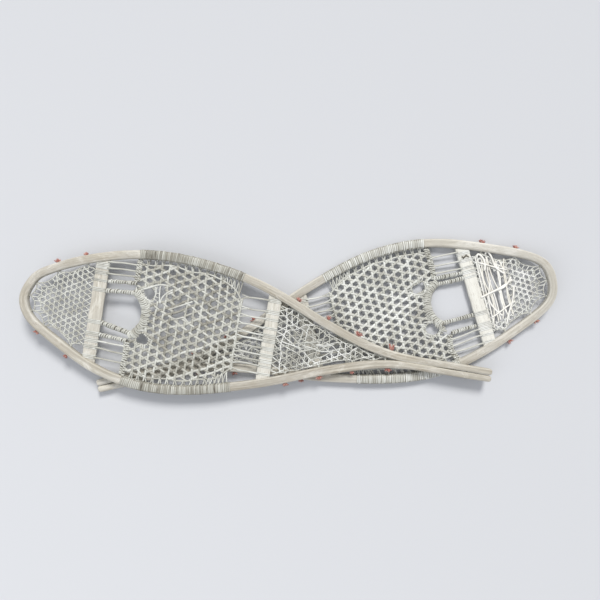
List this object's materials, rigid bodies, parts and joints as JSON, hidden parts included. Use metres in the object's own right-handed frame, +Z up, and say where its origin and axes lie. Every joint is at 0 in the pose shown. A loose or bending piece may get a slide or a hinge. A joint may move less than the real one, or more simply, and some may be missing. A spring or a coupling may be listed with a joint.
{
  "type": "snowshoes",
  "caption": "Pair of bent-wood snowshoes laced with rawhide: oval frames with long joined tails, crossbars, hexagonal lacing and toe holes; one lies crossed on the other.",
  "frame": {"origin": "centre of the pair's box, on the ground it lies on", "axes": "+Z up, out of the faces that are walked on; +X along the pair, from the upper shoe's toe end to the lower shoe's toe end; +Y across the pair"},
  "size_m": [1.3599, 0.4006, 0.0627],
  "materials": {
    "ash_wood": "weathered, unvarnished, satin where handled",
    "rawhide": "dry rawhide, waxy, greyed in the gaps",
    "pale_rawhide": "newer, whiter rawhide",
    "red_wool": "faded wool yarn, fluffy",
    "rivet_metal": "dull, tarnished"
  },
  "bodies": {
    "lower_shoe": {"lower_centre_net": "rawhide", "lower_frame": "ash_wood", "lower_front_bar_bands": "rawhide", "lower_front_crossbar": "ash_wood", "lower_front_selvedge": "rawhide", "lower_front_thongs": "rawhide", "lower_left_rail_winding": "rawhide", "lower_rear_bar_bands": "rawhide", "lower_rear_crossbar": "ash_wood", "lower_rear_selvedge": "rawhide", "lower_rear_thongs": "rawhide", "lower_right_rail_winding": "rawhide", "lower_tail_edge_cord": "rawhide", "lower_tail_net": "rawhide", "lower_tail_rivets": "rivet_metal", "lower_toe_cord": "rawhide", "lower_toe_edge_cord": "rawhide", "lower_toe_hole_cords": "rawhide", "lower_toe_mending": "pale_rawhide", "lower_toe_net": "rawhide", "lower_wool_tufts": "red_wool"},
    "upper_shoe": {"upper_centre_net": "rawhide", "upper_frame": "ash_wood", "upper_front_bar_bands": "rawhide", "upper_front_crossbar": "ash_wood", "upper_front_selvedge": "rawhide", "upper_front_thongs": "rawhide", "upper_left_rail_winding": "rawhide", "upper_rear_bar_bands": "rawhide", "upper_rear_crossbar": "ash_wood", "upper_rear_selvedge": "rawhide", "upper_rear_thongs": "rawhide", "upper_right_rail_winding": "rawhide", "upper_tail_edge_cord": "rawhide", "upper_tail_net": "rawhide", "upper_tail_rivets": "rivet_metal", "upper_toe_cord": "rawhide", "upper_toe_edge_cord": "rawhide", "upper_toe_hole_cords": "rawhide", "upper_toe_net": "rawhide", "upper_wool_tufts": "red_wool"}
  },
  "joints": [
    {"name": "upper_shoe_lift", "type": "slide", "parent": "lower_shoe", "child": "upper_shoe", "axis": [0, 0, 1], "range_m": [0, 0.25]}
  ]
}
